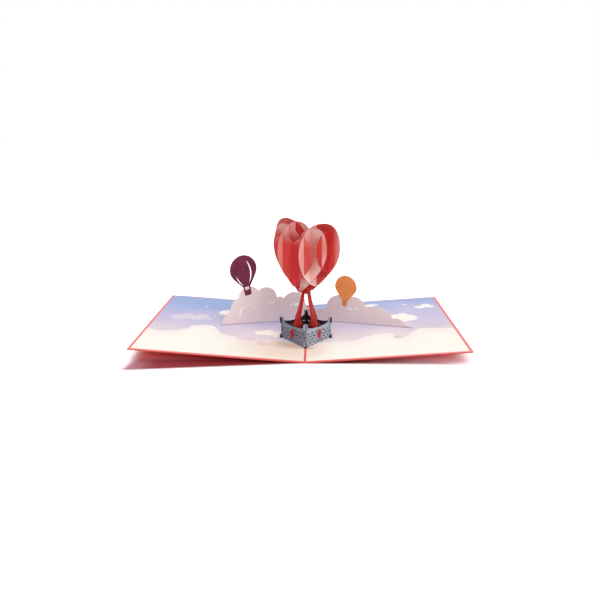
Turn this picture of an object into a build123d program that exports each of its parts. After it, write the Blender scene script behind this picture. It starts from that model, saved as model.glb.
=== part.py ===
from build123d import *
import os
from math import cos, radians, sin, tan

# Pop up card lying open on a table, in millimetres.
# Origin: underside of the spine, midway along the fold. X runs across the card, Y to its back, Z up.

# Cover and pages
left_panel = 131.0          # spine to the left outer edge
right_panel = 122.8         # spine to the right outer edge
card_depth = 178.0          # along the spine
cover_thickness = 0.8
spine_strip = 1.4           # flat strip left between the two creases of the spine
panel_lift = 4.2            # degrees that each panel stays raised when the card lies open
corner_radius = 0.8
page_thickness = 0.3
page_border = 2.5           # cover left bare round each page
page_gap = 0.3              # from the spine crease to the page

# Pop up paper and how its slices cross
paper = 0.4
slot_clearance = 0.12       # on each side of a sheet in its slot
lattice_angle = 50.0        # degrees from X to either family of slices
lattice_y = -29.8           # centre of basket and heart, on the spine

# Basket walls
wall_length = 30.4          # corner to corner
wall_corner_height = 19.8
wall_side_height = 15.6     # where the horn of a corner has run out
wall_middle_height = 14.8
horn_flat = 1.2             # level top of a horn, inward from the corner
horn_length = 5.6           # from the corner to where the horn has run out
ear_length = 2.4            # what stands past a corner
ear_height_top = 4.5
ear_height_bottom = 5.5
post_length = 0.7           # wall left past the corner between the ears
wall_slot_level = 9.0       # where the two half slots of a corner meet
brick_length = 2.4          # joints of the stonework, cut right through
brick_joint = 0.7
brick_pitch = 4.8
brick_course = 2.5
brick_base = 3.9            # level of the lowest course
brick_rows = 4

# Cross slices: strip through the basket, with tabs, legs and a heart
tab_length = 3.4            # what stands out of the wall
strip_bottom = 6.2
strip_top = 13.2
leg_outer = ((4.8, 43.5), (8.4, 29.4), (14.1, 17.4))        # arc down the outer edge of a leg
leg_inner = ((1.5, 40.6), (3.9, 30.0), (6.5, 20.0))         # arc down its inner edge
leg_heel = ((6.5, 20.0), (6.2, 15.3), (2.8, 12.6))          # arc round into the strip's top

# Heart slices that face front left, by their distance from the middle one
heart_middle = {
    "offset": 0.0, "half": 39.8, "lobe": 17.0, "top": 97.0, "widest": 80.5, "tip": 38.5, "cleft": 87.5,
}
heart_inner = {
    "offset": 7.7, "half": 32.4, "lobe": 15.0, "top": 94.2, "widest": 79.0, "tip": 40.5, "cleft": 85.3,
}
heart_outer = {
    "offset": 15.2, "half": 24.6, "lobe": 13.0, "top": 86.0, "widest": 76.0, "tip": 47.5, "cleft": 81.5,
}

# Oval slices that face front right, by their distance from the middle one
oval_middle = {"offset": 0.0, "half": 13.5, "top": 84.0, "widest": 64.0, "bottom": 39.5}
oval_inner = {"offset": 13.2, "half": 21.6, "top": 96.0, "widest": 74.0, "bottom": 47.8}
oval_outer = {"offset": 26.6, "half": 14.0, "top": 92.5, "widest": 77.5, "bottom": 60.4}

# Small seam marks cut through the slices near their edges
seam_mark = (0.5, 1.2)
seam_inset = 3.6

# Cloud strip: one folded sheet, its crease on the spine
cloud_crease_y = 33.0
cloud_angle = 29.8          # degrees that each wing turns forward from X
cloud_neck = 11.5           # height at the crease
cloud_slit = 0.6            # width of the laser cut slits

# Flat balloons glued on the cloud strip
purple_place = (57.2, 30.2)     # bottom of the basket: along the wing, height
purple_lean = 11.0
purple_width = 24.4
purple_height = 35.0
orange_place = (37.9, 19.2)
orange_lean = 4.0
orange_width = 20.6
orange_height = 26.2

os.makedirs("parts", exist_ok=True)

# Directions of the two slice families, and the places worked out from them
along_x = cos(radians(lattice_angle))
along_y = sin(radians(lattice_angle))
hearts_dir = (along_x, -along_y)     # heart slices run this way, to the front right
ovals_dir = (along_x, along_y)       # oval slices run this way, to the back right
crossing = radians(180.0 - 2.0 * lattice_angle)
slot_width = paper * (1.0 + cos(crossing)) / sin(crossing) + 2.0 * slot_clearance
half_wall = wall_length / 2.0
lift = radians(panel_lift)
half_strip = spine_strip / 2.0
inner_crease = half_strip - cover_thickness * tan(lift / 2.0)


def panel_height(x):
    """Height of the cover's upper face at a distance from the spine."""
    return cover_thickness + max(0.0, abs(x) - inner_crease) * tan(lift)


def page_top(x):
    """Height of the page's upper face at a distance from the spine."""
    return panel_height(x) + page_thickness / cos(lift)


# Cover: one sheet with a flat spine strip and two raised panels
with BuildPart() as cover:
    with BuildSketch(Plane.XZ):
        with BuildLine():
            Polyline(
                (-half_strip - left_panel * cos(lift), left_panel * sin(lift)),
                (-half_strip, 0.0),
                (half_strip, 0.0),
                (half_strip + right_panel * cos(lift), right_panel * sin(lift)),
                (
                    half_strip + right_panel * cos(lift) - cover_thickness * sin(lift),
                    right_panel * sin(lift) + cover_thickness * cos(lift),
                ),
                (inner_crease, cover_thickness),
                (-inner_crease, cover_thickness),
                (
                    -half_strip - left_panel * cos(lift) + cover_thickness * sin(lift),
                    left_panel * sin(lift) + cover_thickness * cos(lift),
                ),
                close=True,
            )
        make_face()
    extrude(amount=card_depth / 2.0, both=True)
    outer_corners = cover.edges().filter_by(lambda edge: edge.length < 1.5 * cover_thickness)
    upright_corners = outer_corners.filter_by(Axis.Y, reverse=True)
    fillet(upright_corners.group_by(Axis.X)[0] + upright_corners.group_by(Axis.X)[-1], corner_radius)
cover.part.label = "cover"
export_step(cover.part, "parts/cover.step")


# Pages: a printed sheet on each panel, with the cover showing all round it
def page(side, panel):
    slope = Plane(
        origin=(side * inner_crease, 0.0, cover_thickness),
        x_dir=(cos(lift), 0.0, side * sin(lift)),
        z_dir=(-side * sin(lift), 0.0, cos(lift)),
    )
    width = panel - page_gap - page_border
    with BuildPart() as sheet:
        with BuildSketch(slope):
            with Locations((side * (page_gap + width / 2.0), 0.0)):
                Rectangle(width, card_depth - 2.0 * page_border)
        extrude(amount=page_thickness)
    return sheet.part


left_page = page(-1, left_panel)
left_page.label = "left_page"
export_step(left_page, "parts/left_page.step")

right_page = page(1, right_panel)
right_page.label = "right_page"
export_step(right_page, "parts/right_page.step")

# Room taken by the pages and all below them: standing pieces end on it
with BuildPart() as below_pages:
    with BuildSketch(Plane.XZ):
        with BuildLine():
            Polyline(
                (-left_panel, page_top(left_panel)),
                (-inner_crease, page_top(inner_crease)),
                (inner_crease, page_top(inner_crease)),
                (right_panel, page_top(right_panel)),
                (right_panel, -card_depth),
                (-left_panel, -card_depth),
                close=True,
            )
        make_face()
    extrude(amount=card_depth, both=True)


def upright(start, direction, offset=0.0, across=(0.0, 0.0)):
    """Upright plane: x along a direction on the table, y up, moved sideways by an offset."""
    return Plane(
        origin=(start[0] + offset * across[0], start[1] + offset * across[1], 0.0),
        x_dir=(direction[0], direction[1], 0.0),
        z_dir=(direction[1], -direction[0], 0.0),
    )


centre = (0.0, lattice_y)


def heart_plane(offset):
    return upright(centre, hearts_dir, offset, ovals_dir)


def oval_plane(offset):
    return upright(centre, ovals_dir, offset, hearts_dir)


# Basket: four walls that cross at half slots, with ears past the corners
def brick_joints():
    """Places of the stonework's joints: staggered courses, clear of the tab slit and the corners."""
    places = []
    reach = half_wall - slot_width - brick_length
    for row in range(brick_rows):
        level = brick_base + row * brick_course
        start = (row % 2) * brick_pitch / 2.0 - 3.0 * brick_pitch
        beside_slit = strip_bottom - 1.0 < level < strip_top + 1.0
        for column in range(7):
            along = start + column * brick_pitch
            clear_of_slit = abs(along) > brick_length / 2.0 + slot_width or not beside_slit
            if abs(along) < reach and clear_of_slit:
                places.append((along, level))
    return places


def basket_wall(plane, slots_open_up):
    end = half_wall + ear_length
    post = half_wall + post_length
    with BuildPart() as wall:
        with BuildSketch(plane):
            with BuildLine():
                ThreePointArc(
                    (-half_wall + horn_length, wall_side_height),
                    (0.0, wall_middle_height),
                    (half_wall - horn_length, wall_side_height),
                )
                Spline(
                    (half_wall - horn_length, wall_side_height),
                    (half_wall - horn_flat, wall_corner_height),
                    tangents=[(1.0, 0.1), (0.25, 1.0)],
                )
                Polyline(
                    (half_wall - horn_flat, wall_corner_height),
                    (end, wall_corner_height),
                    (end, wall_corner_height - ear_height_top),
                    (post, wall_corner_height - ear_height_top),
                    (post, ear_height_bottom),
                    (end, ear_height_bottom),
                    (end, 0.0),
                    (-end, 0.0),
                    (-end, ear_height_bottom),
                    (-post, ear_height_bottom),
                    (-post, wall_corner_height - ear_height_top),
                    (-end, wall_corner_height - ear_height_top),
                    (-end, wall_corner_height),
                    (-half_wall + horn_flat, wall_corner_height),
                )
                Spline(
                    (-half_wall + horn_flat, wall_corner_height),
                    (-half_wall + horn_length, wall_side_height),
                    tangents=[(0.25, -1.0), (1.0, -0.1)],
                )
            make_face()
            with Locations((-half_wall, wall_slot_level), (half_wall, wall_slot_level)):
                Rectangle(
                    slot_width,
                    wall_corner_height,
                    align=(Align.CENTER, Align.MIN if slots_open_up else Align.MAX),
                    mode=Mode.SUBTRACT,
                )
            with Locations((0.0, (strip_bottom + strip_top) / 2.0)):
                Rectangle(slot_width, strip_top - strip_bottom + 2.0 * slot_clearance, mode=Mode.SUBTRACT)
            with Locations(*brick_joints()):
                Rectangle(brick_length, brick_joint, mode=Mode.SUBTRACT)
        extrude(amount=paper / 2.0, both=True)
        add(below_pages.part, mode=Mode.SUBTRACT)
    return wall.part


walls = {
    "basket_front_left_wall": (heart_plane(-half_wall), True),
    "basket_back_right_wall": (heart_plane(half_wall), True),
    "basket_front_right_wall": (oval_plane(half_wall), False),
    "basket_back_left_wall": (oval_plane(-half_wall), False),
}
for wall_name, (wall_plane, opens_up) in walls.items():
    wall_part = basket_wall(wall_plane, opens_up)
    wall_part.label = wall_name
    export_step(wall_part, "parts/" + wall_name + ".step")


# Outlines of the heart's slices
def heart_outline(heart):
    """Right half of a heart: lobe from the cleft to the widest point, then the flank to the tip."""
    rise = heart["widest"] - heart["tip"]
    Spline(
        (0.0, heart["cleft"]),
        (heart["lobe"], heart["top"]),
        (heart["half"], heart["widest"]),
        tangents=[(1.0, 1.1), (0.0, -1.0)],
    )
    Bezier(
        (heart["half"], heart["widest"]),
        (heart["half"], heart["widest"] - 0.32 * rise),
        (0.63 * heart["half"], heart["tip"] + 0.41 * rise),
        (0.0, heart["tip"]),
    )


def oval_outline(oval):
    """Right half of an egg: round from the top to the widest point, narrower from there down."""
    drop = oval["widest"] - oval["bottom"]
    EllipticalCenterArc((0.0, oval["widest"]), oval["half"], oval["top"] - oval["widest"], arc_size=90.0)
    Bezier(
        (oval["half"], oval["widest"]),
        (oval["half"], oval["widest"] - 0.5 * drop),
        (0.42 * oval["half"], oval["bottom"]),
        (0.0, oval["bottom"]),
    )


def meeting_level(oval, heart):
    """Level where the half slots of an oval slice and a heart slice meet, about midway."""
    share = (1.0 - (heart["offset"] / oval["half"]) ** 2) ** 0.5
    above = share * (oval["top"] - oval["widest"])
    below = share * (oval["widest"] - oval["bottom"])
    return oval["widest"] + (above - below) / 2.0


def one_leg():
    """Leg that flares down to the strip, its inner edge rounding in to meet the strip's top."""
    with BuildSketch() as leg:
        with BuildLine():
            ThreePointArc(*leg_outer)
            Polyline(leg_outer[-1], (leg_outer[-1][0], leg_heel[-1][1]), leg_heel[-1])
            ThreePointArc(*leg_heel)
            ThreePointArc(*leg_inner)
            Line(leg_inner[0], leg_outer[0])
        make_face()
    return leg.sketch


def legs_and_strip():
    """Two legs, and the strip through the basket whose ends are the tabs outside its walls."""
    add(one_leg())
    add(one_leg().mirror(Plane.YZ))
    with Locations((0.0, (strip_bottom + strip_top) / 2.0)):
        Rectangle(wall_length + 2.0 * tab_length, strip_top - strip_bottom)


def cut_slot(along, level, depth, opens_up):
    """Half slot from a level to beyond the edge of the sheet."""
    with Locations((along, level)):
        Rectangle(
            slot_width,
            depth,
            align=(Align.CENTER, Align.MIN if opens_up else Align.MAX),
            mode=Mode.SUBTRACT,
        )


def both_sides(offset):
    """An offset with both signs, the middle one once."""
    return [0.0] if offset == 0.0 else [-offset, offset]


hearts = [heart_middle, heart_inner, heart_outer]
ovals = [oval_middle, oval_inner, oval_outer]
strip_level = (strip_bottom + strip_top) / 2.0


# Heart slices: slots open down, where the ovals come up into them
def heart_slice(heart, offset):
    with BuildPart() as piece:
        with BuildSketch(heart_plane(offset)):
            with BuildLine():
                heart_outline(heart)
                mirror(about=Plane.YZ)
            make_face()
            if offset == 0.0:
                legs_and_strip()
                cut_slot(0.0, strip_level, strip_top, False)
            for oval in ovals:
                if heart["offset"] < oval["half"]:
                    level = meeting_level(oval, heart)
                    for along in both_sides(oval["offset"]):
                        cut_slot(along, level, level - heart_middle["tip"] + 5.0, False)
            if heart is not heart_outer:
                lobe_mark = (heart["lobe"], heart["top"] - seam_inset)
                side_mark = (heart["half"] - seam_inset, heart["widest"] - 2.0)
                for along, level in (lobe_mark, side_mark):
                    with Locations((along, level), (-along, level)):
                        Rectangle(*seam_mark, mode=Mode.SUBTRACT)
        extrude(amount=paper / 2.0, both=True)
    return piece.part


# Oval slices: slots open up
def oval_slice(oval, offset):
    with BuildPart() as piece:
        with BuildSketch(oval_plane(offset)):
            with BuildLine():
                oval_outline(oval)
                mirror(about=Plane.YZ)
            make_face()
            if offset == 0.0:
                legs_and_strip()
                cut_slot(0.0, strip_level, strip_top, True)
            for heart in hearts:
                if heart["offset"] < oval["half"]:
                    for along in both_sides(heart["offset"]):
                        cut_slot(along, meeting_level(oval, heart), oval["top"], True)
            if oval is not oval_outer:
                with Locations((0.0, oval["bottom"] + 2.0 * seam_inset)):
                    Rectangle(*seam_mark, mode=Mode.SUBTRACT)
        extrude(amount=paper / 2.0, both=True)
    return piece.part


heart_names = {
    "heart_slice_1_front_left": (heart_outer, -heart_outer["offset"]),
    "heart_slice_2_front_left": (heart_inner, -heart_inner["offset"]),
    "heart_slice_3_middle_with_legs": (heart_middle, 0.0),
    "heart_slice_4_back_right": (heart_inner, heart_inner["offset"]),
    "heart_slice_5_back_right": (heart_outer, heart_outer["offset"]),
}
for slice_name, (heart, offset) in heart_names.items():
    slice_part = heart_slice(heart, offset)
    slice_part.label = slice_name
    export_step(slice_part, "parts/" + slice_name + ".step")

oval_names = {
    "oval_slice_1_back_left": (oval_outer, -oval_outer["offset"]),
    "oval_slice_2_back_left": (oval_inner, -oval_inner["offset"]),
    "oval_slice_3_middle_with_legs": (oval_middle, 0.0),
    "oval_slice_4_front_right": (oval_inner, oval_inner["offset"]),
    "oval_slice_5_front_right": (oval_outer, oval_outer["offset"]),
}
for slice_name, (oval, offset) in oval_names.items():
    slice_part = oval_slice(oval, offset)
    slice_part.label = slice_name
    export_step(slice_part, "parts/" + slice_name + ".step")

# Cloud strip: two wings on one crease, with scalloped tops and thin slits
cloud_crease = (0.0, cloud_crease_y)
wing_x = cos(radians(cloud_angle))
wing_y = -sin(radians(cloud_angle))
left_wing = upright(cloud_crease, (-wing_x, wing_y))
right_wing = upright(cloud_crease, (wing_x, wing_y))

left_lobes = [
    ((81.8, 7.0), (79.6, 13.6), (73.8, 16.6)),
    ((73.8, 16.6), (71.6, 24.6), (66.4, 28.2)),
    ((66.4, 28.2), (57.5, 37.3), (47.6, 32.9)),
    ((47.6, 32.9), (37.0, 34.4), (29.8, 24.4)),
    ((29.8, 24.4), (26.7, 25.4), (23.5, 23.1)),
    ((23.5, 23.1), (12.6, 27.9), (1.8, 17.0)),
]
right_lobes = [
    ((19.6, 13.4), (26.8, 25.8), (41.0, 25.6)),
    ((41.0, 25.6), (50.6, 27.2), (57.6, 20.8)),
    ((61.0, 19.9), (73.6, 20.8), (83.4, 12.8)),
    ((83.4, 12.8), (90.0, 13.3), (95.2, 9.2)),
]
left_slit = (12.8, 16.7)                                    # straight slit, beside the crease
left_slit_length = 7.6
left_curls = [
    ((65.3, 13.2), (57.6, 21.0), (50.0, 17.4)),
    ((37.4, 21.8), (34.6, 20.4), (32.2, 22.3)),
]
right_slits = [(43.1, 16.8), (49.9, 17.5)]
right_slit_length = 4.0
left_wing_length = left_lobes[0][0][0]
right_wing_length = 101.4
right_foot = page_top(right_wing_length * wing_x) + 0.5

with BuildPart() as cloud_strip:
    with BuildSketch(left_wing):
        with BuildLine():
            for lobe_start, lobe_top, lobe_end in left_lobes:
                ThreePointArc(lobe_start, lobe_top, lobe_end)
            Line(left_lobes[-1][2], (0.0, cloud_neck))
            Polyline((0.0, cloud_neck), (0.0, 0.0), (left_wing_length, 0.0), left_lobes[0][0])
        make_face()
        with Locations(left_slit):
            SlotOverall(left_slit_length, cloud_slit, mode=Mode.SUBTRACT)
        for curl in left_curls:
            SlotArc(ThreePointArc(*curl, mode=Mode.PRIVATE), cloud_slit, mode=Mode.SUBTRACT)
    extrude(amount=paper / 2.0, both=True)
    with BuildSketch(right_wing):
        with BuildLine():
            Polyline((0.0, 0.0), (0.0, cloud_neck), right_lobes[0][0])
            for lobe_start, lobe_top, lobe_end in right_lobes:
                ThreePointArc(lobe_start, lobe_top, lobe_end)
            Line(right_lobes[1][2], right_lobes[2][0])
            Polyline(
                right_lobes[-1][2],
                (right_wing_length, right_foot),
                (right_wing_length, 0.0),
                (0.0, 0.0),
            )
        make_face()
        with Locations(*right_slits):
            SlotOverall(right_slit_length, cloud_slit, mode=Mode.SUBTRACT)
    extrude(amount=paper / 2.0, both=True)
    with BuildSketch(Plane.XY):
        with Locations(cloud_crease):
            Circle(paper / 2.0)
    extrude(amount=cloud_neck)
    add(below_pages.part, mode=Mode.SUBTRACT)
cloud_strip.part.label = "cloud_strip"
export_step(cloud_strip.part, "parts/cloud_strip.step")


# Flat balloons, face to face with the front of a wing
def balloon_plane(wing, place, lean):
    """Plane of a balloon: origin at the bottom of its basket, leaning away from the crease."""
    front = 1.0 if wing.z_dir.Y < 0.0 else -1.0
    origin = wing.from_local_coords((place[0], place[1], front * paper))
    turn = radians(lean)
    return Plane(
        origin=origin,
        x_dir=wing.x_dir * cos(turn) - Vector(0.0, 0.0, 1.0) * sin(turn),
        z_dir=wing.z_dir,
    )


def envelope(width, height, neck_level, neck_half):
    """Balloon envelope from its neck up, as one closed curve."""
    half = width / 2.0
    shoulder = height - half
    with BuildSketch() as outline:
        with BuildLine():
            Bezier((neck_half, neck_level), (half * 0.55, neck_level + 0.14 * height),
                   (half, height * 0.50), (half, shoulder))
            ThreePointArc((half, shoulder), (0.0, height), (-half, shoulder))
            Bezier((-half, shoulder), (-half, height * 0.50),
                   (-half * 0.55, neck_level + 0.14 * height), (-neck_half, neck_level))
            Line((-neck_half, neck_level), (neck_half, neck_level))
        make_face()
    return outline.sketch


def crescent(points, half, height, thickness):
    """Thin crescent along an arc, its three points as shares of the envelope's half width and height."""
    top, bulge, bottom = [(half * across, height * level) for across, level in points]
    with BuildSketch() as outline:
        with BuildLine():
            ThreePointArc(top, (bulge[0] + thickness, bulge[1]), bottom)
            ThreePointArc(bottom, bulge, top)
        make_face()
    return outline.sketch


purple_slits = [
    (((-0.28, 0.87), (-0.56, 0.58), (-0.17, 0.26)), 1.2),
    (((0.64, 0.55), (0.43, 0.38), (0.22, 0.255)), 0.8),
]
basket_half = 2.9
basket_height = 4.6
rope = 0.9
neck_half = 3.3
neck_level = 7.4
with BuildPart() as purple_balloon:
    with BuildSketch(balloon_plane(left_wing, purple_place, purple_lean)):
        add(envelope(purple_width, purple_height, neck_level, neck_half))
        with BuildLine():
            Polyline(
                (-basket_half, 0.0),
                (basket_half, 0.0),
                (neck_half, neck_level + 0.5),
                (-neck_half, neck_level + 0.5),
                close=True,
            )
        make_face()
        with Locations((0.0, (basket_height + neck_level) / 2.0)):
            Rectangle(2.0 * (basket_half - rope), neck_level - basket_height, mode=Mode.SUBTRACT)
        for points, thickness in purple_slits:
            add(crescent(points, purple_width / 2.0, purple_height, thickness), mode=Mode.SUBTRACT)
    extrude(amount=paper / 2.0, both=True)
purple_balloon.part.label = "purple_balloon"
export_step(purple_balloon.part, "parts/purple_balloon.step")

knob_half = 2.0
knob_height = 4.4
orange_neck_half = 2.8
with BuildPart() as orange_balloon:
    with BuildSketch(balloon_plane(right_wing, orange_place, orange_lean)):
        add(envelope(orange_width, orange_height, knob_height, orange_neck_half))
        with Locations((0.0, knob_height / 2.0)):
            Rectangle(2.0 * knob_half, knob_height + 0.5)
    extrude(amount=paper / 2.0, both=True)
orange_balloon.part.label = "orange_balloon"
export_step(orange_balloon.part, "parts/orange_balloon.step")
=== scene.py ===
# %% [markdown]
# # A pop up card lying open
#
# The object is a folded greeting card. A coral cover carries two printed pages, and laser cut
# paper stands up between them: a basket of four crossing walls, a heart made of slotted slices,
# a strip of clouds with one crease, and two flat balloons. The construction model already has
# every sheet at its real place and thickness. What is left for this scene is what a printer does:
# paper, ink, cut edges, light and a camera.

# %% Load the construction model
from math import cos, radians, sin, tan

import bpy
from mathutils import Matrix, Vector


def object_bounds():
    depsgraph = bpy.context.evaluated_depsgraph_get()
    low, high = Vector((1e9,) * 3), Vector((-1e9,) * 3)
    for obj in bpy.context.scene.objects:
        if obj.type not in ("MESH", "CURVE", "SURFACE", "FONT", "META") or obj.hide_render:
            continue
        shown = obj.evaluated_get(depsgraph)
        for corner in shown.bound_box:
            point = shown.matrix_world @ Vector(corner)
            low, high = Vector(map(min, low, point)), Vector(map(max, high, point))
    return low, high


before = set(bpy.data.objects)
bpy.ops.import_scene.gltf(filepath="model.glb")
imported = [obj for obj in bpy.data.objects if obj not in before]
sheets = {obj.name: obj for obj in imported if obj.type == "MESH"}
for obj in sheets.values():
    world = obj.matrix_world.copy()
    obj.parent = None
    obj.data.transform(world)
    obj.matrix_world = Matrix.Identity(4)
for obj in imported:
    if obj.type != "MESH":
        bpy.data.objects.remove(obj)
box_at_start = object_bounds()
mm_in_metre = 1000.0
left_edge, front_edge, _ = [mm_in_metre * value for value in box_at_start[0]]
right_edge, back_edge, top = [mm_in_metre * value for value in box_at_start[1]]
print("sheets:", len(sheets))
print("size in mm:", [round(value, 1) for value in (right_edge - left_edge, back_edge - front_edge, top)])

# %% [markdown]
# ## Ink colours
#
# Inks are picked as hexadecimal screen colours, which is how a printer's proof shows them.
# Shaders work in linear light, so one function turns the one into the other.


# %% Colour conversion
def ink(code):
    """Linear colour with alpha for a hexadecimal screen colour."""
    channels = [int(code[start:start + 2], 16) / 255.0 for start in (0, 2, 4)]
    return [c / 12.92 if c <= 0.04045 else ((c + 0.055) / 1.055) ** 2.4 for c in channels] + [1.0]


print("coral in linear light:", [round(channel, 3) for channel in ink("e65f5b")])

# %% [markdown]
# ## Building shaders in few lines
#
# A shader is a tree of nodes. One helper adds a node, applies its settings, and fills each input
# either with a number or with a link, so that a pattern reads like a sentence. All patterns are
# placed by Object coordinates. The sheets' origin is the card's origin, so these coordinates,
# times a thousand, are the millimetres that the card was drawn in. A noise of scale 0.05 then has
# lumps of about 20 mm, and one of scale 2.6 has grains of about 0.4 mm.


# %% Node helper and the start of a finish
def node(tree, kind, inputs=None, **settings):
    made = tree.nodes.new(kind)
    for name, value in settings.items():
        setattr(made, name, value)
    for socket, value in (inputs or {}).items():
        if isinstance(value, bpy.types.NodeSocket):
            tree.links.new(value, made.inputs[socket])
        else:
            made.inputs[socket].default_value = value
    return made


def start_finish(name):
    """New material, its node tree, and the place on the card in millimetres."""
    finish = bpy.data.materials.new(name)
    finish.use_nodes = True
    tree = finish.node_tree
    tree.nodes.clear()
    in_metres = node(tree, "ShaderNodeTexCoord").outputs["Object"]
    place = node(tree, "ShaderNodeVectorMath", {0: in_metres, "Scale": mm_in_metre}, operation="SCALE")
    return finish, tree, place.outputs[0]


# %% [markdown]
# ## Fields of print
#
# The artwork is made of fields: a place where an ink begins, and a soft or sharp border. `fade`
# turns a distance into such a border, `both` keeps what two fields share, and `overprint` lays an
# ink over what is already there. `measure` gives the distance along a direction on the card.


# %% Fields and overprinting
def measure(tree, place, direction, start=(0.0, 0.0, 0.0)):
    """Distance in millimetres along a direction from a start point."""
    from_start = node(tree, "ShaderNodeVectorMath", {0: place, 1: start}, operation="SUBTRACT").outputs[0]
    distance = node(tree, "ShaderNodeVectorMath", {0: from_start, 1: direction}, operation="DOT_PRODUCT")
    return distance.outputs["Value"]


def fade(tree, value, start, end):
    """0 up to the start, 1 from the end on, and a smooth step between them."""
    borders = {"Value": value, "From Min": start, "From Max": end}
    return node(tree, "ShaderNodeMapRange", borders, interpolation_type="SMOOTHSTEP").outputs[0]


def both(tree, first, second):
    return node(tree, "ShaderNodeMath", {0: first, 1: second}, operation="MULTIPLY").outputs[0]


def overprint(tree, where, under, over):
    return node(tree, "ShaderNodeMix", {0: where, 6: under, 7: over}, data_type="RGBA").outputs[2]


across_card, to_back, upwards = (1.0, 0.0, 0.0), (0.0, 1.0, 0.0), (0.0, 0.0, 1.0)

# %% [markdown]
# ## Paper under the ink
#
# Uncoated paper has fibres a few tenths of a millimetre long, which show as a faint mottle and a
# very low relief. A laser cut edge is a little browned. The edge is found from the sheet itself:
# a point nearer to the sheet's middle plane than its face is lies on the cut. `finish_paper` adds
# fibres, relief and edge to any print, so that all the sheets are one family.


# %% Fibres, relief and the cut edge
def finish_paper(tree, place, print_colour, roughness, edge=None, edge_ink=None, relief=0.05):
    """Ends a finish: fibres in the colour, the roughness and the relief, which is in millimetres."""
    grain = {"Vector": place, "Scale": 2.6, "Detail": 5.0, "Roughness": 0.7}
    fibres = node(tree, "ShaderNodeTexNoise", grain).outputs[0]
    mottle = node(tree, "ShaderNodeMapRange", {"Value": fibres, "To Min": 0.94, "To Max": 1.05}).outputs[0]
    mottled = node(tree, "ShaderNodeVectorMath", {0: print_colour, "Scale": mottle}, operation="SCALE")
    colour = mottled.outputs[0]
    if edge is not None:
        colour = overprint(tree, edge, colour, edge_ink)
    bump = {"Strength": 0.25, "Distance": relief / mm_in_metre, "Height": fibres}
    gloss = {"Value": fibres, "To Min": roughness - 0.06, "To Max": roughness + 0.08}
    surface = node(tree, "ShaderNodeBsdfPrincipled", {
        "Base Color": colour,
        "Roughness": node(tree, "ShaderNodeMapRange", gloss).outputs[0],
        "Normal": node(tree, "ShaderNodeBump", bump).outputs[0],
        "Specular IOR Level": 0.35,
    }).outputs[0]
    node(tree, "ShaderNodeOutputMaterial", {"Surface": surface})


def put_on(finish, name):
    sheets[name].material_slots[0].material = finish
    print(finish.name, "on", name)


# %% [markdown]
# ## Cover
#
# The cover is stiff card of 0.8 mm, coral and lightly coated, which is why it has a soft gloss
# that the pages lack. Slow, broad mottling keeps a large plain area from looking painted on.
# Handling has paled the card a touch in places, and the coral also grows paler away from the spine,
# most towards its outer edges. Its front face is a little darker. The underside is a deeper red:
# little of it is seen, but it colours the shade between the raised panels and the table. It is found
# from the height over a panel's lower side, which is level under the narrow spine and rises with the panel
# beyond it.

# %% Coral card
panel_slope = tan(radians(4.2))
spine_half = 0.7
finish, tree, place = start_finish("coral coated card")
broad = node(tree, "ShaderNodeTexNoise", {"Vector": place, "Scale": 0.05, "Detail": 3.0}).outputs[0]
wear = {"Vector": place, "Scale": 0.9, "Detail": 6.0, "Roughness": 0.75}
rubbed = node(tree, "ShaderNodeTexNoise", wear).outputs[0]
from_left = measure(tree, place, across_card)
from_spine = node(tree, "ShaderNodeMath", {0: from_left}, operation="ABSOLUTE").outputs[0]
coral = overprint(tree, fade(tree, broad, 0.35, 0.7), ink("e65f5b"), ink("ef6e6a"))
# Paler away from the spine, towards the outer edges.
coral = overprint(tree, fade(tree, from_spine, 5.0, 75.0), coral, ink("f78b8c"))
coral = overprint(tree, both(tree, fade(tree, rubbed, 0.62, 0.75), 0.35), coral, ink("f9a9a6"))

front_face = fade(tree, measure(tree, place, to_back), front_edge + 0.1, front_edge + 0.02)
coral = overprint(tree, front_face, coral, ink("d2504f"))

past_spine = node(tree, "ShaderNodeMath", {0: from_spine, 1: spine_half}, operation="SUBTRACT").outputs[0]
on_panel = node(tree, "ShaderNodeMath", {0: past_spine, 1: 0.0}, operation="MAXIMUM").outputs[0]
less_the_rise = {0: on_panel, 1: -panel_slope, 2: measure(tree, place, upwards)}
above_underside = node(tree, "ShaderNodeMath", less_the_rise, operation="MULTIPLY_ADD").outputs[0]
coral = overprint(tree, fade(tree, above_underside, 0.08, 0.04), coral, ink("d6272b"))
finish_paper(tree, place, coral, roughness=0.45, relief=0.03)
put_on(finish, "cover")

# %% [markdown]
# ## Pages: a sky in print
#
# Each page is printed with a sky that is blue at the back and lavender in front of that, over a
# bank of cream cloud that fills the front. The border of the bank is a curve node with a few
# points in millimetres, made lumpy by noise. The small clouds are ellipses that run together.
# Ellipses and a curve keep the artwork editable, where a picture would fix it.


# %% Shapes in the sky
def ellipses(tree, place, shapes, softness=0.12):
    """1 inside any of the ellipses (x, y, half width, half depth), all in millimetres."""
    inside = 0.0
    for x, y, half_width, half_depth in shapes:
        from_middle = node(tree, "ShaderNodeVectorMath", {0: place, 1: (x, y, 0.0)}, operation="SUBTRACT")
        to_a_circle = {0: from_middle.outputs[0], 1: (1.0 / half_width, 1.0 / half_depth, 0.0)}
        scaled = node(tree, "ShaderNodeVectorMath", to_a_circle, operation="MULTIPLY").outputs[0]
        reach = node(tree, "ShaderNodeVectorMath", {0: scaled}, operation="LENGTH").outputs["Value"]
        field = fade(tree, reach, 1.0 + softness, 1.0 - softness)
        inside = node(tree, "ShaderNodeMath", {0: inside, 1: field}, operation="MAXIMUM").outputs[0]
    return inside


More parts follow.
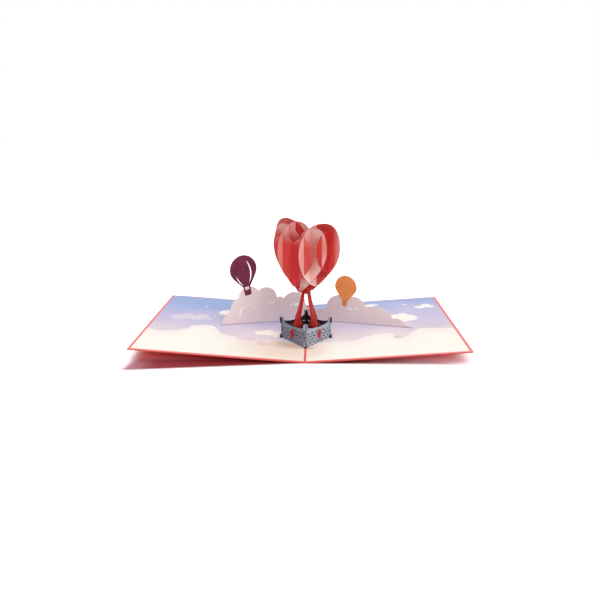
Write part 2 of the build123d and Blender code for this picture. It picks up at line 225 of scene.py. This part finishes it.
def bank_edge(tree, across, points):
    """Level of the cloud bank's border, from points (distance from the spine, y)."""
    reach, low, high = 130.0, -60.0, 0.0
    curve = node(tree, "ShaderNodeFloatCurve", {"Value": both(tree, across, 1.0 / reach)})
    line = curve.mapping.curves[0]
    shares = [(x / reach, (y - low) / (high - low)) for x, y in points]
    line.points[0].location, line.points[1].location = shares[0], shares[-1]
    for share in shares[1:-1]:
        line.points.new(*share)
    curve.mapping.update()
    levels = {"Value": curve.outputs[0], "To Min": low, "To Max": high}
    return node(tree, "ShaderNodeMapRange", levels).outputs[0]


def torn_place(tree, place, tear):
    """The place moved by lumpy noise of up to half the tear each way, in millimetres."""
    lumps = {"Vector": place, "Scale": 0.16, "Detail": 6.0, "Roughness": 0.62}
    noise = node(tree, "ShaderNodeTexNoise", lumps).outputs["Color"]
    offset = node(tree, "ShaderNodeVectorMath", {0: noise, 1: (0.5, 0.5, 0.5)}, operation="SUBTRACT")
    shift = node(tree, "ShaderNodeVectorMath", {0: offset.outputs[0], "Scale": tear}, operation="SCALE")
    return node(tree, "ShaderNodeVectorMath", {0: place, 1: shift.outputs[0]}, operation="ADD").outputs[0]


# %% Printing a page
def sky_page(name, side, near_sky, middle_sky, blue_from, bank,
             pale_clouds, white_clouds, cream_clouds, gaps, peach_wash_and_painted_shade, painted_shade):
    """A page's print. The side is -1 left of the spine and 1 right of it, and all places are in mm."""
    finish, tree, place = start_finish(name)
    torn = torn_place(tree, place, 9.0)
    back = measure(tree, torn, to_back)
    haze = node(tree, "ShaderNodeTexNoise", {"Vector": place, "Scale": 0.03, "Detail": 2.0}).outputs[0]
    depth = node(tree, "ShaderNodeMath", {0: haze, 1: 60.0, 2: back}, operation="MULTIPLY_ADD").outputs[0]
    sky = overprint(tree, fade(tree, depth, -20.0, 60.0), ink(near_sky), ink(middle_sky))
    sky = overprint(tree, fade(tree, depth, blue_from, blue_from + 60.0), sky, ink("a3b7e2"))
    for clouds, cloud_ink in ((pale_clouds, "dfd7e6"), (white_clouds, "fffaf4"), (cream_clouds, "fff5ea")):
        sky = overprint(tree, ellipses(tree, torn, clouds), sky, ink(cloud_ink))
    edge = bank_edge(tree, measure(tree, torn, (side, 0.0, 0.0)), bank)
    below = node(tree, "ShaderNodeMath", {0: edge, 1: back}, operation="SUBTRACT").outputs[0]
    cream = overprint(tree, fade(tree, below, 0.0, 22.0), ink("fdf1ee"), ink("fffcf1"))
    cream = overprint(tree, ellipses(tree, torn, gaps, 0.2), cream, ink("dcd0da"))
    # The peach wash near the spine is print with painted shade in it. The brown ellipse after it is a
    # painted shadow of the basket.
    cream = overprint(tree, both(tree, ellipses(tree, place, [peach_wash_and_painted_shade], 0.75), 0.8), cream, ink("f6dcc8"))
    cream = overprint(tree, both(tree, ellipses(tree, place, [painted_shade], 0.8), 0.75), cream, ink("cdb0a4"))
    art = overprint(tree, fade(tree, below, -0.6, 0.6), sky, cream)
    finish_paper(tree, place, art, roughness=0.58)
    return finish


# %% Left page
left_print = sky_page(
    "sky print on the left page", -1.0, "ead9e0", "c6c1e2", 40.0,
    bank=[(0, -45), (20, -40), (36, -41), (47, -46), (58, -37), (67, -33), (73, -20), (82, -10),
          (92, -13), (100, -27), (114, -35), (126, -32)],
    pale_clouds=[(-111, 10, 7, 7), (-104, 14, 5, 9), (-97, 10, 5, 5), (-92, 15, 6, 10), (-86, 12, 4, 3)],
    white_clouds=[(-72, 36, 7, 8), (-80, 20, 1.0, 1.3), (-92, 54, 1.3, 1.0)],
    cream_clouds=[(-38, -21, 5, 6), (-31, -19, 7, 8), (-24, -21, 6, 8), (-18, -24, 5, 6)],
    gaps=[(-35, -50, 4, 6), (-19, -44, 5, 4)],
    # The last two are a peach wash with painted shade, and the basket's painted shadow.
    peach_wash_and_painted_shade=(-10, -62, 36, 30),
    painted_shade=(-13, -49, 13, 8),
)
put_on(left_print, "left_page")

# %% Right page
right_print = sky_page(
    "sky print on the right page", 1.0, "f0dfdd", "cfc9e5", 62.0,
    bank=[(0, -46), (18, -42), (36, -41), (48, -34), (60, -27), (68, -28), (77, -39), (86, -29),
          (95, -19), (106, -21), (122, -23)],
    pale_clouds=[(40, 60, 9, 6), (64, 50, 5, 4)],
    white_clouds=[(60, 70, 6, 5), (103, 51, 4, 4), (109, 55, 5, 7), (114, 51, 3, 4), (78, 24, 6, 7),
                  (85, 20, 7, 14), (91, 17, 5, 9), (91, 65, 1.5, 2.0)],
    cream_clouds=[],
    gaps=[(74, -38, 4.5, 4)],
    # The last two are a peach wash with painted shade, and the basket's painted shadow.
    peach_wash_and_painted_shade=(1, -62, 15, 18),
    painted_shade=(3, -55, 4, 3),
)
put_on(right_print, "right_page")

# %% [markdown]
# ## Directions of the standing paper
#
# The basket walls and the heart's slices stand on two crossing families of planes, 50 degrees
# from the front of the card. A sheet's own directions give three distances at each point: along
# the sheet, up, and across its thickness. Across tells one printed face from the other, and the
# cut edge from both.

# %% The two families and a sheet's own distances
lattice_angle = 50.0
hearts_run = (cos(radians(lattice_angle)), -sin(radians(lattice_angle)), 0.0)
ovals_run = (cos(radians(lattice_angle)), sin(radians(lattice_angle)), 0.0)
middle = (0.0, -29.8, 0.0)
half_paper = 0.2


def on_sheet(tree, place, run, other_run, offset):
    """Along, up and across distances of an upright sheet, and its cut edge as a field."""
    start = [m + offset * step for m, step in zip(middle, other_run)]
    side = 1.0 if run[0] * other_run[1] > run[1] * other_run[0] else -1.0
    along = measure(tree, place, run, start)
    up = measure(tree, place, upwards)
    across = measure(tree, place, (-side * run[1], side * run[0], 0.0), start)
    from_plane = node(tree, "ShaderNodeMath", {0: across}, operation="ABSOLUTE").outputs[0]
    edge = fade(tree, from_plane, half_paper - 0.01, half_paper - 0.02)
    return along, up, across, edge


print("slices cross at", round(180.0 - 2.0 * lattice_angle), "degrees")

# %% [markdown]
# ## Basket walls
#
# The walls are printed as grey blue stone outside, and dark plum inside. The joints of the
# stonework are real cuts in the sheet. A dark dash round each cut is painted shade, standing for the
# shaded inside of the basket seen through it. The print has its own stones: a brick pattern gives
# each stone a slightly different grey, and short strokes, pale and dark, keep them from being even.
# The dashes repeat like the cuts: wrapping the distance along a course, and rounding the height to
# the nearest course, leaves the distance to the nearest cut.

# %% Dashes of painted shade round the cut joints
half_wall = 15.2
brick_pitch, brick_course, brick_base = 4.8, 2.5, 3.9
dash_half_length, dash_half_height, dashes_top = 1.3, 0.45, 12.6


def painted_shade_dashes(tree, along, up):
    """1 in a dash of painted shade round each cut joint of the stonework."""
    level = node(tree, "ShaderNodeMath", {0: up, 1: brick_base}, operation="SUBTRACT").outputs[0]
    courses = both(tree, level, 1.0 / brick_course)
    course = node(tree, "ShaderNodeMath", {0: courses}, operation="ROUND").outputs[0]
    back_to_course = {0: course, 1: -brick_course, 2: level}
    off_level = node(tree, "ShaderNodeMath", back_to_course, operation="MULTIPLY_ADD").outputs[0]
    odd = node(tree, "ShaderNodeMath", {0: course, 1: 1.0}, operation="PINGPONG").outputs[0]
    half_brick_on = {0: odd, 1: brick_pitch / 2.0, 2: along}
    shifted = node(tree, "ShaderNodeMath", half_brick_on, operation="MULTIPLY_ADD").outputs[0]
    one_brick = {0: shifted, 1: brick_pitch / 2.0, 2: -brick_pitch / 2.0}
    off_column = node(tree, "ShaderNodeMath", one_brick, operation="WRAP").outputs[0]
    rise = node(tree, "ShaderNodeMath", {0: off_level}, operation="ABSOLUTE").outputs[0]
    reach = node(tree, "ShaderNodeMath", {0: off_column}, operation="ABSOLUTE").outputs[0]
    dash = both(tree, fade(tree, rise, dash_half_height + 0.15, dash_half_height),
                fade(tree, reach, dash_half_length + 0.2, dash_half_length))
    return both(tree, dash, fade(tree, up, dashes_top + 0.4, dashes_top))


print("stones are", brick_pitch, "by", brick_course, "mm")

# %% [markdown]
# Past each corner a wall ends in a short post with an ear at its top and one at its foot. Painted
# shade darkens post and ears at the side corners, and the post alone at the front and back ones.
# The left walls carry painted shade as well: a plum overprint makes them deeper than the right.

# %% Stone print outside, plum inside
post_foot, post_top = 5.3, 15.4


def stone_wall(name, run, other_run, side, painted_shade):
    """A wall's print. The side is the sign of its offset, its outer face and its side corner."""
    finish, tree, place = start_finish(name)
    along, up, across, edge = on_sheet(tree, place, run, other_run, side * half_wall)
    flat = node(tree, "ShaderNodeCombineXYZ", {"X": along, "Y": up}).outputs[0]
    stones = node(tree, "ShaderNodeTexBrick", {
        "Vector": flat, "Color1": ink("8f99a9"), "Color2": ink("aab4c1"), "Mortar": ink("777e8f"),
        "Scale": 1.0, "Mortar Size": 0.09, "Mortar Smooth": 0.6,
        "Brick Width": brick_pitch, "Row Height": brick_course,
    }).outputs[0]
    grit = node(tree, "ShaderNodeTexNoise", {"Vector": flat, "Scale": 1.4, "Detail": 4.0}).outputs[0]
    stones = overprint(tree, fade(tree, grit, 0.5, 0.72), stones, ink("bfc8d0"))
    stretch = node(tree, "ShaderNodeVectorMath", {0: flat, 1: (0.42, 1.9, 1.0)}, operation="MULTIPLY")
    stroke = {"Vector": stretch.outputs[0], "Scale": 1.0, "Detail": 1.0}
    strokes = node(tree, "ShaderNodeTexNoise", stroke).outputs[0]
    stones = overprint(tree, both(tree, fade(tree, strokes, 0.6, 0.66), 0.7), stones, ink("e3e8ea"))
    stones = overprint(tree, both(tree, fade(tree, strokes, 0.36, 0.3), 0.8), stones, ink("5a6074"))
    # Painted shade: a plum overprint that deepens the left walls.
    stones = overprint(tree, painted_shade, stones, ink("54486b"))
    # Painted shade: a dark dash round each cut.
    stones = overprint(tree, painted_shade_dashes(tree, along, up), stones, ink("1f1c30"))

    # Painted shade on post and ears past the side corner.
    painted_shade_at_side_end = fade(tree, both(tree, along, side), half_wall + 0.2, half_wall + 0.9)
    stones = overprint(tree, both(tree, painted_shade_at_side_end, 0.75), stones, ink("2b2740"))
    # Painted shade on the post at the front or back corner.
    other_end = fade(tree, both(tree, along, -side), half_wall + 0.1, half_wall + 0.3)
    between_ears = both(tree, fade(tree, up, post_foot, post_foot + 0.5),
                        fade(tree, up, post_top, post_top - 0.5))
    painted_shade_on_post = both(tree, other_end, between_ears)
    stones = overprint(tree, both(tree, painted_shade_on_post, 0.85), stones, ink("3a3548"))

    plum = overprint(tree, fade(tree, grit, 0.4, 0.7), ink("33263c"), ink("4a3448"))
    inside = fade(tree, both(tree, across, side), 0.05, -0.05)
    wall_ink = overprint(tree, inside, stones, plum)
    finish_paper(tree, place, wall_ink, roughness=0.7, edge=edge, edge_ink=ink("b0adb7"))
    return finish


# The last number is the strength of a wall's painted shade.
walls = {
    "front left": (hearts_run, ovals_run, -1.0, 0.45),
    "back right": (hearts_run, ovals_run, 1.0, 0.0),
    "front right": (ovals_run, hearts_run, 1.0, 0.0),
    "back left": (ovals_run, hearts_run, -1.0, 0.45),
}
for wall, (run, other_run, side, painted_shade) in walls.items():
    stone_print = stone_wall("stone print, " + wall, run, other_run, side, painted_shade)
    put_on(stone_print, "basket_" + wall.replace(" ", "_") + "_wall")

# %% [markdown]
# ## Heart slices
#
# Each slice is printed before it is cut: red, brushed downwards, with paler fields that give the
# stacked slices their painted look. A field has a strength and a list of borders along the sheet
# or up it, and the fields of one slice are laid over each other. Brush marks are noise that is
# stretched along the height, so they run down as a brush would, and they make the borders across
# the height ragged. Some pale fields are print made stronger as painted light where the slices
# shade each other: low and on the right of the second heart slice, and low on the fourth oval
# slice. Between the basket's walls a maroon overprint is painted shade.

# %% Brushed red print
basket_rim = 15.5
raggedness = 9.0


def heart_print(name, run, other_run, offset, inks, light_fields, deep_fields):
    """A slice's print. The inks are its red, its deep red and its light one."""
    red, deep, light = inks
    finish, tree, place = start_finish(name)
    along, up, _, edge = on_sheet(tree, place, run, other_run, offset)
    down_the_sheet = {"X": both(tree, along, 0.55), "Y": both(tree, up, 0.05), "Z": offset}
    stretch = node(tree, "ShaderNodeCombineXYZ", down_the_sheet).outputs[0]
    brush = node(tree, "ShaderNodeTexNoise", {"Vector": stretch, "Scale": 1.0, "Detail": 4.0}).outputs[0]
    lifted = node(tree, "ShaderNodeMath", {0: brush, 1: raggedness, 2: up}, operation="MULTIPLY_ADD")
    ragged = node(tree, "ShaderNodeMath", {0: lifted.outputs[0], 1: raggedness / 2.0}, operation="SUBTRACT")
    distances = {"along": along, "up": ragged.outputs[0]}

    colour = overprint(tree, fade(tree, brush, 0.42, 0.68), ink(red), ink(deep))
    for over, fields in ((deep, deep_fields), (light, light_fields)):
        for strength, borders in fields:
            streaks = {"Value": brush, "To Min": strength, "To Max": 0.7 * strength}
            where = node(tree, "ShaderNodeMapRange", streaks).outputs[0]
            for axis, start, end in borders:
                where = both(tree, where, fade(tree, distances[axis], start, end))
            colour = overprint(tree, where, colour, ink(over))

    from_middle = node(tree, "ShaderNodeMath", {0: along}, operation="ABSOLUTE").outputs[0]
    # Painted shade: the slice turns maroon between the basket's walls.
    painted_shade_in_basket = both(tree, fade(tree, up, basket_rim, basket_rim - 2.5),
                     fade(tree, from_middle, half_wall - 0.3, half_wall - 1.7))
    colour = overprint(tree, both(tree, painted_shade_in_basket, 0.9), colour, ink("5c1620"))
    finish_paper(tree, place, colour, roughness=0.6, edge=edge, edge_ink=ink("c25048"))
    return finish


# %% Hearts
inner_heart, outer_heart = 7.7, 15.2
heart_inks = ("e03c36", "d2161b", "fdcfc8")
top_glow = (0.68, [("up", 80.0, 92.0)])
# Pale lower field: print made stronger as painted light, where the slices shade each other.
lower_print_and_painted_light = (1.4, [("up", 84.0, 65.0), ("up", 41.0, 50.0), ("along", -0.6, 0.6)])
hearts = {
    "heart_slice_1_front_left": (
        -outer_heart,
        [(0.3, [("up", 79.0, 87.0)]), (0.05, [("along", -4.0, -8.0)]), (0.12, [("along", 7.0, 11.0)])],
        [(1.0, [("along", -6.0, -2.0), ("along", 9.0, 5.0), ("up", 50.0, 58.0)])],
    ),
    "heart_slice_2_front_left": (
        -inner_heart,
        # The third field, on the slice's right, is print made stronger as painted light.
        [top_glow, lower_print_and_painted_light, (0.62, [("along", 12.6, 13.4)])],
        [],
    ),
    "heart_slice_3_middle_with_legs": (
        0.0,
        [(0.05, []), (0.5, [("along", 32.0, 38.0), ("up", 50.0, 60.0)]),
         (0.15, [("along", -14.0, -20.0), ("up", 84.0, 94.0)])],
        [(0.45, [("up", 80.0, 92.0)])],
    ),
    "heart_slice_4_back_right": (inner_heart, [(1.3, [("up", 80.0, 90.0)])], []),
    "heart_slice_5_back_right": (outer_heart, [(0.8, [("up", 76.0, 86.0)])], []),
}
for sheet, (offset, light_fields, deep_fields) in hearts.items():
    brushed_red = heart_print("brushed red, " + sheet, hearts_run, ovals_run, offset, heart_inks,
                              light_fields, deep_fields)
    put_on(brushed_red, sheet)

# %% Ovals
inner_oval, outer_oval = 13.2, 26.6
oval_inks = ("d63832", "bd2826", "ffdad4")
left_half = ("along", 0.4, -0.4)
ovals = {
    "oval_slice_1_back_left": (
        -outer_oval,
        [(0.35, [("up", 70.0, 60.0)]), (0.35, [("up", 80.0, 88.0)])],
        [],
    ),
    "oval_slice_2_back_left": (-inner_oval, [(0.46, [left_half]), (0.4, [("up", 84.0, 92.0)])], []),
    "oval_slice_3_middle_with_legs": (0.0, [], [(1.0, [("up", 46.0, 40.0)])]),
    # Its lower field is print made stronger as painted light.
    "oval_slice_4_front_right": (inner_oval, [(0.72, [left_half]), (1.4, [("up", 64.0, 56.0)])], []),
    "oval_slice_5_front_right": (
        outer_oval,
        [(0.3, [("along", 9.0, 13.0)])],
        [(0.6, [("up", 74.0, 64.0)])],
    ),
}
for sheet, (offset, light_fields, deep_fields) in ovals.items():
    brushed_red = heart_print("brushed red, " + sheet, ovals_run, hearts_run, offset, oval_inks,
                              light_fields, deep_fields)
    put_on(brushed_red, sheet)

# %% [markdown]
# ## Clouds and flat balloons
#
# The cloud strip is pale rose paper, with painted shade that greys it towards the fold and a thin
# grey line of painted shadow along its foot. Its slits are cut, and a white painted highlight runs
# along each: straight ones are boxes on a wing, and curled ones follow the circle through three
# points of the cut. The balloons are plain coloured paper: plum with slits that let the page show
# through, and orange with a darker knob.

# %% Painted highlights along the slits
wing_turn = radians(29.8)
crease = (0.0, 33.0, 0.0)
rim_blur = 0.2


def box_field(tree, along, up, left, right, low, high):
    """1 inside a box on a wing, in millimetres."""
    wide = both(tree, fade(tree, along, left - rim_blur, left), fade(tree, along, right + rim_blur, right))
    tall = both(tree, fade(tree, up, low - rim_blur, low), fade(tree, up, high + rim_blur, high))
    return both(tree, wide, tall)


def circle_through(first, second, third):
    """Middle and radius of the circle through three points."""
    (ax, ay), (bx, by), (cx, cy) = first, second, third
    turn = 2.0 * (ax * (by - cy) + bx * (cy - ay) + cx * (ay - by))
    a, b, c = ax * ax + ay * ay, bx * bx + by * by, cx * cx + cy * cy
    x = (a * (by - cy) + b * (cy - ay) + c * (ay - by)) / turn
    y = (a * (cx - bx) + b * (ax - cx) + c * (bx - ax)) / turn
    return x, y, ((ax - x) ** 2 + (ay - y) ** 2) ** 0.5


def curl_highlight(tree, along, up, points, half_width):
    """1 along the arc through three points (along, up), no further than a little past its ends."""
    x, y, radius = circle_through(*points)
    flat = node(tree, "ShaderNodeCombineXYZ", {"X": along, "Y": up}).outputs[0]
    reach = node(tree, "ShaderNodeVectorMath", {0: flat, 1: (x, y, 0.0)}, operation="DISTANCE")
    past = {0: reach.outputs["Value"], 1: radius}
    off_arc = node(tree, "ShaderNodeMath", past, operation="SUBTRACT").outputs[0]
    from_arc = node(tree, "ShaderNodeMath", {0: off_arc}, operation="ABSOLUTE").outputs[0]
    near = fade(tree, from_arc, half_width + rim_blur, half_width)
    alongs, ups = zip(*points)
    box = box_field(tree, along, up, min(alongs) - 0.4, max(alongs) + 0.4, min(ups) - 0.4, max(ups) + 0.6)
    return both(tree, near, box)


curls = [
    (((65.3, 13.2), (57.6, 21.0), (50.0, 17.4)), 0.4, 0.5),
    (((65.3, 13.2), (64.7, 16.4), (62.7, 19.2)), 0.55, 1.0),
    (((37.4, 21.8), (34.6, 20.4), (32.2, 22.3)), 0.5, 0.9),
]
straight = [(-1.0, 12.8, 16.7, 4.2), (1.0, 43.1, 16.8, 2.2), (1.0, 49.9, 17.5, 2.2)]
straight_half_width = 0.6
print("first curl, middle and radius:", [round(value, 1) for value in circle_through(*curls[0][0])])

# %% Rose grey cloud paper
page_top_at_spine = 1.1
finish, tree, place = start_finish("rose grey cloud paper")
up = measure(tree, place, upwards)
from_left = measure(tree, place, across_card)
from_spine = node(tree, "ShaderNodeMath", {0: from_left}, operation="ABSOLUTE").outputs[0]
cloud = overprint(tree, fade(tree, up, 6.0, 30.0), ink("e7d6d8"), ink("f1e1de"))
# Painted shade greys the strip towards the fold.
cloud = overprint(tree, both(tree, fade(tree, from_spine, 26.0, 0.0), 0.3), cloud, ink("d9cbd0"))
airbrush = node(tree, "ShaderNodeTexNoise", {"Vector": place, "Scale": 0.09, "Detail": 2.0}).outputs[0]
cloud = overprint(tree, both(tree, fade(tree, airbrush, 0.45, 0.7), 0.5), cloud, ink("f3e0e1"))

# Painted shadow: a thin grey line along the strip's foot, level with the tilted page.
less_the_rise = {0: from_spine, 1: -panel_slope, 2: up}
level = node(tree, "ShaderNodeMath", less_the_rise, operation="MULTIPLY_ADD").outputs[0]
painted_contact_shadow = both(tree, fade(tree, level, page_top_at_spine + 1.1, page_top_at_spine + 0.5), 0.55)
cloud = overprint(tree, painted_contact_shadow, cloud, ink("978b99"))

wings = {}
for side in (-1.0, 1.0):
    wings[side] = measure(tree, place, (side * cos(wing_turn), -sin(wing_turn), 0.0), crease)
# Painted highlights: a white line along each slit.
for side, middle_along, middle_up, half_length in straight:
    painted_highlight = box_field(tree, wings[side], up, middle_along - half_length, middle_along + half_length,
                    middle_up - straight_half_width, middle_up + straight_half_width)
    cloud = overprint(tree, painted_highlight, cloud, ink("fffdfd"))
for points, half_width, strength in curls:
    painted_highlight = curl_highlight(tree, wings[-1.0], up, points, half_width)
    cloud = overprint(tree, both(tree, painted_highlight, strength), cloud, ink("fffdfd"))
finish_paper(tree, place, cloud, roughness=0.66)
put_on(finish, "cloud_strip")


# %% Plum and orange balloon paper
def balloon_paper(name, dark_ink, light_ink):
    """The start of a balloon's finish, with its mottled colour."""
    finish, tree, place = start_finish(name)
    dye = node(tree, "ShaderNodeTexNoise", {"Vector": place, "Scale": 0.22, "Detail": 4.0}).outputs[0]
    colour = overprint(tree, fade(tree, dye, 0.35, 0.7), ink(dark_ink), ink(light_ink))
    return finish, tree, place, colour


finish, tree, place, plum = balloon_paper("plum balloon paper", "6a2241", "7a2b4d")
finish_paper(tree, place, plum, roughness=0.6)
put_on(finish, "purple_balloon")

finish, tree, place, orange = balloon_paper("orange balloon paper", "ef914e", "f7a15b")
knob = fade(tree, measure(tree, place, upwards), 26.0, 21.0)
orange = overprint(tree, knob, orange, ink("dc8648"))
finish_paper(tree, place, orange, roughness=0.6)
put_on(finish, "orange_balloon")

# %% [markdown]
# ## Table
#
# Product pictures of stationery stand on white that runs on without a horizon. The table here is
# a large sheet with white paint. It catches the card's shadow as any surface does. The paint is a
# brighter white for the camera alone, so that the lit table reaches full white while the shade
# keeps its tint, and no extra light reaches the card.

# %% White table
half_table = 3.0
table_mesh = bpy.data.meshes.new("table")
corners = [(-half_table, -half_table, 0.0), (half_table, -half_table, 0.0),
           (half_table, half_table, 0.0), (-half_table, half_table, 0.0)]
table_mesh.from_pydata(corners, [], [(0, 1, 2, 3)])
table = bpy.data.objects.new("table", table_mesh)
bpy.context.scene.collection.objects.link(table)
finish, tree, place = start_finish("white table paint")
paint_noise = node(tree, "ShaderNodeTexNoise", {"Vector": place, "Scale": 0.02}).outputs[0]
paint = overprint(tree, paint_noise, ink("f3f3f3"), ink("f5f5f5"))
print("table is", 2.0 * half_table, "m wide")

# %% [markdown]
# ## Shade under the card
#
# Under the card the camera's white is tinted too: painted shade that deepens the red the cover's
# underside throws on the table there. A smooth step at each side of the card's outline bounds the
# tint. On the left this painted shadow reaches forward of the card, the more the higher the panel is
# raised.

# %% Where the camera's white is tinted
shade_reach, end_skew = 0.14, 0.2
x = measure(tree, place, across_card)
y = measure(tree, place, to_back)
from_front = node(tree, "ShaderNodeMath", {0: y, 1: front_edge}, operation="SUBTRACT").outputs[0]
skewed = node(tree, "ShaderNodeMath", {0: from_front, 1: -end_skew, 2: x}, operation="MULTIPLY_ADD")
ends = both(tree, fade(tree, skewed.outputs[0], left_edge - 4.2, left_edge + 7.8),
            fade(tree, x, right_edge + 1.8, right_edge - 25.2))
reached = both(tree, x, -shade_reach)
lean = node(tree, "ShaderNodeMath", {0: reached, 1: 0.0}, operation="MAXIMUM").outputs[0]
leaning = node(tree, "ShaderNodeMath", {0: y, 1: lean}, operation="ADD").outputs[0]
front_and_back = both(tree, fade(tree, leaning, front_edge - 3.0, front_edge + 3.0),
                      fade(tree, y, back_edge + 5.0, back_edge - 5.0))
under_card = both(tree, ends, front_and_back)
print("shade reaches", round(-shade_reach * left_edge, 1), "mm forward at the left end")

# %% [markdown]
# The tint is deepest along the front, and it pales to the right and towards the left end. White
# for the camera is brighter than any ink, so these colours are inks with a strength. Left of the
# card the white is brighter still, as painted light, because the raised panel takes light from the table
# there.


# %% Colours of the camera's white
def bright(code, strength):
    """An ink's linear colour made stronger."""
    return [strength * channel for channel in ink(code)[:3]] + [1.0]


to_right = fade(tree, x, 5.0, 115.0)
to_left = fade(tree, x, -60.0, -125.0)
at_left_end = fade(tree, x, left_edge + 25.3, left_edge + 0.3)
within = overprint(tree, to_left, bright("ff8d93", 1.5), bright("ffb4b9", 1.65))
within = overprint(tree, to_right, within, bright("f7f7ff", 2.8))
along_front = overprint(tree, to_left, ink("8b3336"), ink("97444b"))
along_front = overprint(tree, at_left_end, along_front, ink("bc868e"))
along_front = overprint(tree, to_right, along_front, ink("dfc8cd"))
tint = overprint(tree, fade(tree, y, front_edge + 19.0, front_edge + 2.0), within, along_front)

# Painted light beside the card's left end.
beside = fade(tree, x, left_edge + 5.3, left_edge - 4.2)
white = overprint(tree, beside, bright("ffffff", 1.25), bright("fffcfc", 2.0))
# Painted shade and shadow under and in front of the card.
white = overprint(tree, under_card, white, tint)
seen = node(tree, "ShaderNodeLightPath").outputs["Is Camera Ray"]
surface = node(tree, "ShaderNodeBsdfDiffuse", {"Color": overprint(tree, seen, paint, white)}).outputs[0]
node(tree, "ShaderNodeOutputMaterial", {"Surface": surface})
table_mesh.materials.append(finish)
print(finish.name, "on the table")

# %% [markdown]
# ## Light
#
# The world is a dome that is bright overhead and dim at the horizon, and plain white where the
# camera sees it. One wide, soft lamp in front lights the standing sheets from a little to the
# right, and a faint one behind keeps their backs from going dull.

# %% World
world = bpy.data.worlds.new("white studio")
bpy.context.scene.world = world
world.use_nodes = True
tree = world.node_tree
tree.nodes.clear()
seen = node(tree, "ShaderNodeLightPath").outputs["Is Camera Ray"]
direction = node(tree, "ShaderNodeTexCoord").outputs["Generated"]
height = node(tree, "ShaderNodeSeparateXYZ", {0: direction}).outputs["Z"]
dome_levels = {"Value": height, "From Min": 0.2, "From Max": 0.8, "To Min": 0.02, "To Max": 0.78}
dome_level = node(tree, "ShaderNodeMapRange", dome_levels).outputs[0]
level = node(tree, "ShaderNodeMix", {0: seen, 2: dome_level, 3: 1.0}).outputs[0]
dome = node(tree, "ShaderNodeBackground", {"Color": ink("ffffff"), "Strength": level}).outputs[0]
node(tree, "ShaderNodeOutputWorld", {"Surface": dome})
print("dome strength overhead:", dome_levels["To Max"])


# %% Lamps
def soft_lamp(name, power, spread, tilt, turn):
    """Wide lamp: its spread, tilt from overhead and turn about the table's upright in degrees."""
    light = bpy.data.lights.new(name, "SUN")
    light.energy = power
    light.angle = radians(spread)
    lamp = bpy.data.objects.new(name, light)
    lamp.rotation_euler = (radians(tilt), 0.0, radians(turn))
    bpy.context.scene.collection.objects.link(lamp)
    print(name, power, "W per square metre")


soft_lamp("soft lamp behind on the right", power=0.35, spread=50.0, tilt=42.0, turn=132.0)
soft_lamp("soft lamp in front", power=1.87, spread=62.0, tilt=46.0, turn=18.0)

# %% [markdown]
# ## Camera
#
# The card was seen from a little above, from about 60 cm, almost square to the spine. Place and
# lens follow from the card's own corners: near and far corners fix how strong the perspective
# is, and the tilt fixes where the far edge lies over the near one.

# %% Camera
focal_length, sensor_width = 43.56, 36.0
camera_place = (0.0072, -0.598, 0.168)
camera_tilt, camera_turn = 76.73, 1.21
lens = bpy.data.cameras.new("camera")
lens.sensor_width = sensor_width
lens.lens = focal_length
camera = bpy.data.objects.new("camera", lens)
camera.location = camera_place
camera.rotation_euler = (radians(camera_tilt), 0.0, radians(camera_turn))
bpy.context.scene.collection.objects.link(camera)
bpy.context.scene.camera = camera
bpy.context.scene.view_settings.view_transform = "Standard"
print("camera at", camera_place, "m, looking", round(90.0 - camera_tilt, 2), "degrees down")
